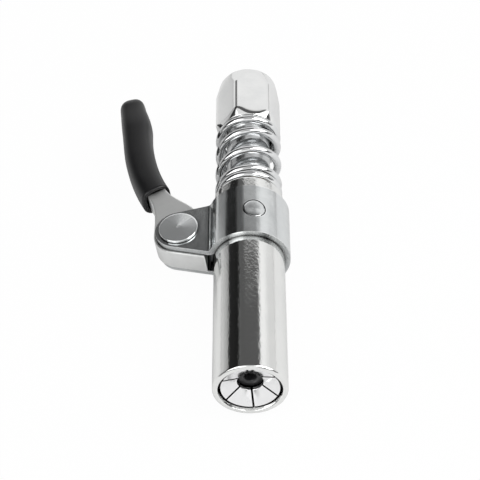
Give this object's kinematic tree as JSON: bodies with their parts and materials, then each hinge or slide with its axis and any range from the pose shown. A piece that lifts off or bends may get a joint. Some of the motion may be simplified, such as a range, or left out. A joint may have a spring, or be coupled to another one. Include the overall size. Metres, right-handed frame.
{
  "type": "grease coupler",
  "caption": "Lever-released grease coupler: a spring-loaded sleeve on a hollow stem closes split jaws round a rubber seal, with a hexagonal threaded inlet.",
  "frame": {"origin": "centre of the inlet thread's mouth, on the hexagon's rear face", "axes": "+Y out of the inlet along the coupler's axis, nozzle towards -Y; +Z along the lever's rivet, head up; the lever lies on the -X side"},
  "size_m": [0.0468, 0.1078, 0.021],
  "materials": {
    "polished_sleeve": "polished and nickel plated",
    "plated_hex": "machined hexagon, nickel plated",
    "plated_strap": "bent sheet steel, zinc plated",
    "jaw_steel": "hardened steel, polished and plated",
    "turned_steel": "turned steel, plated",
    "spring_wire": "bright drawn spring wire",
    "rivet_steel": "headed steel, zinc plated",
    "lever_steel": "cast steel, satin zinc plate",
    "dipped_vinyl": "dip-moulded black vinyl",
    "black_rubber": "moulded nitrile rubber",
    "brass": "turned brass",
    "bronze": "sintered bronze"
  },
  "bodies": {
    "core": {"inlet_body": "plated_hex", "stem": "turned_steel", "inlet_o_ring": "black_rubber", "main_spring": "spring_wire", "jaw_garter": "spring_wire", "carrier_clip": "spring_wire", "seal_spring": "spring_wire"},
    "slider": {"sleeve": "polished_sleeve", "guide_bush": "bronze", "strap": "plated_strap", "strap_pin": "plated_strap", "pivot_rivet": "rivet_steel"},
    "handle": {"lever": "lever_steel", "grip": "dipped_vinyl"},
    "seal_set": {"nozzle_seal": "black_rubber", "seal_carrier": "brass", "carrier_o_ring": "black_rubber"},
    "jaw_1_set": {"jaw_1": "jaw_steel"},
    "jaw_2_set": {"jaw_2": "jaw_steel"},
    "jaw_3_set": {"jaw_3": "jaw_steel"},
    "jaw_4_set": {"jaw_4": "jaw_steel"},
    "jaw_5_set": {"jaw_5": "jaw_steel"},
    "jaw_6_set": {"jaw_6": "jaw_steel"}
  },
  "joints": [
    {"name": "sleeve_slide", "type": "slide", "parent": "core", "child": "slider", "axis": [0, 1, 0], "range_m": [0, 0.0034], "stiffness_N_per_m": 3000, "springref_m": -0.02, "deforming": ["main_spring"]},
    {"name": "lever_swing", "type": "hinge", "parent": "slider", "child": "handle", "pos_m": [-0.0176, -0.057, 0], "axis": [0, 0, 1], "range_deg": [-18, 0]},
    {"name": "seal_slide", "type": "slide", "parent": "core", "child": "seal_set", "axis": [0, 1, 0], "range_m": [0, 0.003], "stiffness_N_per_m": 400, "springref_m": -0.004, "deforming": ["seal_spring"]},
    {"name": "jaw_1_rock", "type": "hinge", "parent": "core", "child": "jaw_1_set", "pos_m": [0.00288, -0.0865, 0.0048], "axis": [-0.8572, 0, 0.515], "range_deg": [0, 3]},
    {"name": "jaw_2_rock", "type": "hinge", "parent": "core", "child": "jaw_2_set", "pos_m": [-0.00271, -0.0865, 0.0049], "axis": [-0.8746, 0, -0.4848], "range_deg": [0, 3]},
    {"name": "jaw_3_rock", "type": "hinge", "parent": "core", "child": "jaw_3_set", "pos_m": [-0.0056, -0.0865, 0.0001], "axis": [-0.0175, 0, -0.9998], "range_deg": [0, 3]},
    {"name": "jaw_4_rock", "type": "hinge", "parent": "core", "child": "jaw_4_set", "pos_m": [-0.00288, -0.0865, -0.0048], "axis": [0.8572, 0, -0.515], "range_deg": [0, 3]},
    {"name": "jaw_5_rock", "type": "hinge", "parent": "core", "child": "jaw_5_set", "pos_m": [0.00271, -0.0865, -0.0049], "axis": [0.8746, 0, 0.4848], "range_deg": [0, 3]},
    {"name": "jaw_6_rock", "type": "hinge", "parent": "core", "child": "jaw_6_set", "pos_m": [0.0056, -0.0865, -0.0001], "axis": [0.0175, 0, 0.9998], "range_deg": [0, 3]}
  ],
  "couplings": [
    {"joint": "lever_swing", "follows": "sleeve_slide", "rad_per_m": -92.376},
    {"joint": "jaw_1_rock", "follows": "sleeve_slide", "rad_per_m": 14.551},
    {"joint": "jaw_2_rock", "follows": "sleeve_slide", "rad_per_m": 14.551},
    {"joint": "jaw_3_rock", "follows": "sleeve_slide", "rad_per_m": 14.551},
    {"joint": "jaw_4_rock", "follows": "sleeve_slide", "rad_per_m": 14.551},
    {"joint": "jaw_5_rock", "follows": "sleeve_slide", "rad_per_m": 14.551},
    {"joint": "jaw_6_rock", "follows": "sleeve_slide", "rad_per_m": 14.551}
  ]
}
